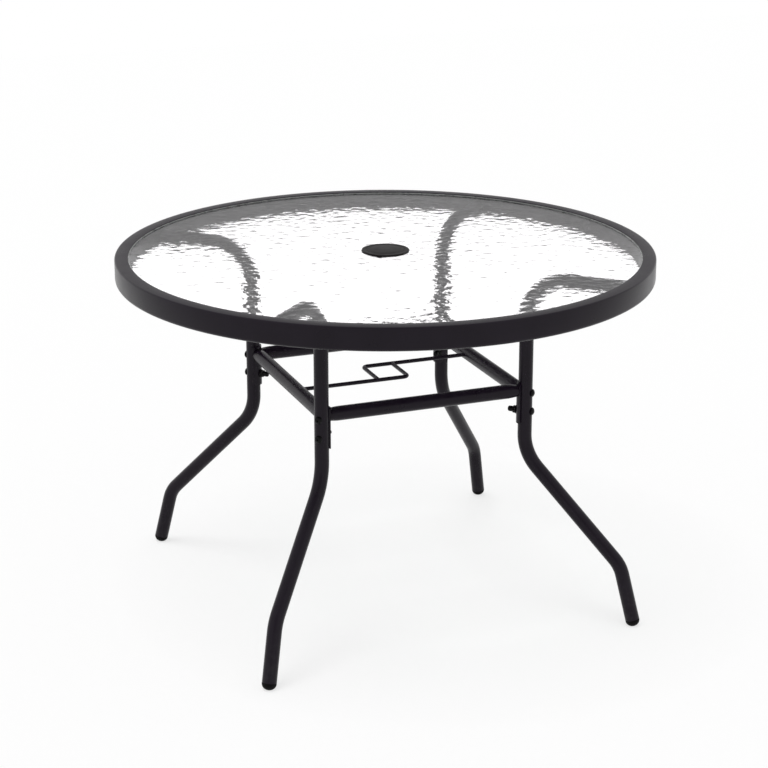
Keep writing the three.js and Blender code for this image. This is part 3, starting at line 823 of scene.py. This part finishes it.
def makeTabs():
    armUnderside = leg["armHeight"] - leg["radius"]
    top = armUnderside - tab["gap"]
    bottom, back = top - tab["sheet"], tab["face"] - tab["sheet"]
    outline = [(tab["face"], bottom), (tab["face"], bottom + tab["rise"]), (back, bottom + tab["rise"]),
               (back, top), (back - tab["reach"], top), (back - tab["reach"], bottom)]
    seat = bottom - tab["gap"]
    headTop = seat - screw["headHeight"]
    tipHeight = armUnderside + leg["wall"] + screw["tip"]
    screwSection = [
        (0, headTop, 0), (screw["headRadius"], headTop, screw["headCorner"]),
        (screw["headRadius"], seat, screw["seatEdge"]), (screw["radius"], seat, 0),
        (screw["radius"], tipHeight, screw["tipEdge"]), (0, tipHeight, 0),
    ]
    for corner, angle in corners.items():
        bm = bmesh.new()
        plate = bm.faces.new([bm.verts.new((x, -tab["width"] / 2, z)) for x, z in outline])
        thicken(bm, [plate], tab["width"])
        bmesh.ops.bevel(bm, geom=bm.edges[:], offset=tab["edge"], segments=2, profile=0.5,
                        affect="EDGES", material=-1)
        moveAll(bm, quarterTurn(angle))
        keepPiece("rim_tab_plate_" + corner, bm, powderCoat, ["rim_tab_" + corner])

        bm = bmesh.new()
        spinProfile(bm, screwSection, bolt["steps"], closed=False)
        moveAll(bm, quarterTurn(angle) @ Matrix.Translation((back - tab["screwInset"], 0, 0)))
        keepPiece("tab_screw_turned_" + corner, bm, blackSteel, ["tab_screw_" + corner])


makeTabs()
print("table: fixings and tabs made")


# Floor, light and camera

studio = {
    "floorSize": 14.0, "floorColour": 0.80, "seenShare": 0.30, "seenGlow": 0.69, "throughGlass": 1.7,
    "worldLight": 0.60, "glassTone": 0.08, "glassFrom": 0.08, "glassTo": 0.29,
    "upperTone": 0.52, "upperFrom": 0.02, "upperTo": 0.14,
    "sideTone": 1.0, "sideFrom": 0.12, "sideTo": 0.50, "roofTone": 1.0, "roofFrom": 0.62, "roofTo": 0.85,
    "lampStrength": 1.35, "lampSpread": radians(26), "lampFrom": (-0.18, 0.0, 1.0),
}
view = {
    "azimuth": radians(-21.3), "distance": 3.8519, "height": 1.7171, "pitch": radians(16.28),
    "lens": 94.05, "sensor": 36, "shift": (-0.0018, -0.1),
}


def seenBy(tree, *kinds):
    # 1 for what the camera sees straight, by gloss or through glass, and 0 for what lights the table
    rays = tree.nodes.new("ShaderNodeLightPath")
    seen = rays.outputs["Is %s Ray" % kinds[0]]
    for kind in kinds[1:]:
        seen = mathNode(tree, "MAXIMUM", seen, rays.outputs["Is %s Ray" % kind])
    noBounce = mathNode(tree, "LESS_THAN", rays.outputs["Diffuse Depth"], 0.5)
    return mathNode(tree, "MULTIPLY", seen, noBounce)


def makeWorld():
    # White all round. Gloss also sees a softer grey above the horizon, between two pale sides and a
    # pale roof, and what the glass sends back up from inside it sees a dark sky.
    world = bpy.data.worlds.new("studioWorld")
    bpy.context.scene.world = world
    world.use_nodes = True
    tree = world.node_tree
    heading = tree.nodes.new("ShaderNodeTexCoord")
    turn = tree.nodes.new("ShaderNodeVectorRotate")
    turn.rotation_type = "Z_AXIS"
    turn.inputs["Angle"].default_value = -view["azimuth"]
    link(tree, heading.outputs["Generated"], turn.inputs["Vector"])
    apart = tree.nodes.new("ShaderNodeSeparateXYZ")
    link(tree, turn.outputs[0], apart.inputs[0])
    aside, height = mathNode(tree, "ABSOLUTE", apart.outputs["X"]), apart.outputs["Z"]
    side = rangeNode(tree, aside, studio["sideFrom"], studio["sideTo"],
                     studio["upperTone"], studio["sideTone"])
    roof = rangeNode(tree, height, studio["roofFrom"], studio["roofTo"], 0.0, studio["roofTone"])
    upper = rangeNode(tree, height, studio["upperFrom"], studio["upperTo"],
                      1.0, mathNode(tree, "MAXIMUM", side, roof))
    inGlass = rangeNode(tree, height, studio["glassFrom"], studio["glassTo"], 1.0, studio["glassTone"])

    seen = seenBy(tree, "Camera", "Glossy", "Transmission")
    glossy, glazed = seenBy(tree, "Glossy"), seenBy(tree, "Transmission")
    mirrored = mathNode(tree, "SUBTRACT", glossy, glazed, clamp=True)
    strength = rangeNode(tree, seen, 0.0, 1.0, studio["worldLight"], 1.0)
    strength = mathNode(tree, "MULTIPLY", strength, rangeNode(tree, mirrored, 0.0, 1.0, 1.0, upper))
    strength = mathNode(tree, "MULTIPLY", strength, rangeNode(tree, glazed, 0.0, 1.0, 1.0, inGlass))
    background = tree.nodes["Background"]
    background.inputs["Color"].default_value = (1, 1, 1, 1)
    link(tree, strength, background.inputs["Strength"])


def makeFloor():
    # Pale and matt; what is seen of it glows, so that it melts into the white background
    bm = bmesh.new()
    bmesh.ops.create_grid(bm, x_segments=1, y_segments=1, size=studio["floorSize"] / 2)
    mesh = bpy.data.meshes.new("studio_floor")
    bm.to_mesh(mesh)
    bm.free()
    floor = bpy.data.objects.new("studio_floor", mesh)
    bpy.context.scene.collection.objects.link(floor)
    material, tree, shader, place = newMaterial("paleFloor")
    tree.nodes.remove(shader)
    diffuse = tree.nodes.new("ShaderNodeBsdfDiffuse")
    glow = tree.nodes.new("ShaderNodeEmission")
    both = tree.nodes.new("ShaderNodeAddShader")
    seen = seenBy(tree, "Camera", "Glossy", "Transmission")
    behind = rangeNode(tree, seenBy(tree, "Transmission"), 0.0, 1.0, 1.0, studio["throughGlass"])
    share = rangeNode(tree, seen, 0.0, 1.0, studio["floorColour"], studio["seenShare"])
    glowing = mathNode(tree, "MULTIPLY", behind, studio["seenGlow"])
    link(tree, mathNode(tree, "MULTIPLY", share, behind), diffuse.inputs["Color"])
    link(tree, mathNode(tree, "MULTIPLY", seen, glowing), glow.inputs["Strength"])
    link(tree, diffuse.outputs[0], both.inputs[0])
    link(tree, glow.outputs[0], both.inputs[1])
    link(tree, both.outputs[0], tree.nodes["Material Output"].inputs["Surface"])
    mesh.materials.append(material)


def makeLamp():
    # One wide soft lamp high above, a little to the left
    light = bpy.data.lights.new("softLamp", "SUN")
    light.energy = studio["lampStrength"]
    light.angle = studio["lampSpread"]
    holder = bpy.data.objects.new("softLamp", light)
    holder.rotation_euler = Vector(studio["lampFrom"]).to_track_quat("Z", "Y").to_euler()
    holder.visible_glossy = False
    holder.visible_transmission = False
    bpy.context.scene.collection.objects.link(holder)


def makeCamera():
    # Stands at its azimuth and height, and looks down at the table's axis by its pitch
    data = bpy.data.cameras.new("photoView")
    data.lens = view["lens"]
    data.sensor_width = view["sensor"]
    data.shift_x, data.shift_y = view["shift"]
    camera = bpy.data.objects.new("photoView", data)
    azimuth, pitch = view["azimuth"], view["pitch"]
    aside, back = sin(azimuth), -cos(azimuth)
    camera.location = (aside * view["distance"], back * view["distance"], view["height"])
    toward = Vector((-aside * cos(pitch), -back * cos(pitch), -sin(pitch)))
    camera.rotation_euler = toward.to_track_quat("-Z", "Y").to_euler()
    bpy.context.scene.collection.objects.link(camera)
    bpy.context.scene.camera = camera


makeWorld()
makeFloor()
makeLamp()
makeCamera()
bpy.context.scene.view_settings.view_transform = "Standard"
print("table: floor, lamp and camera made")
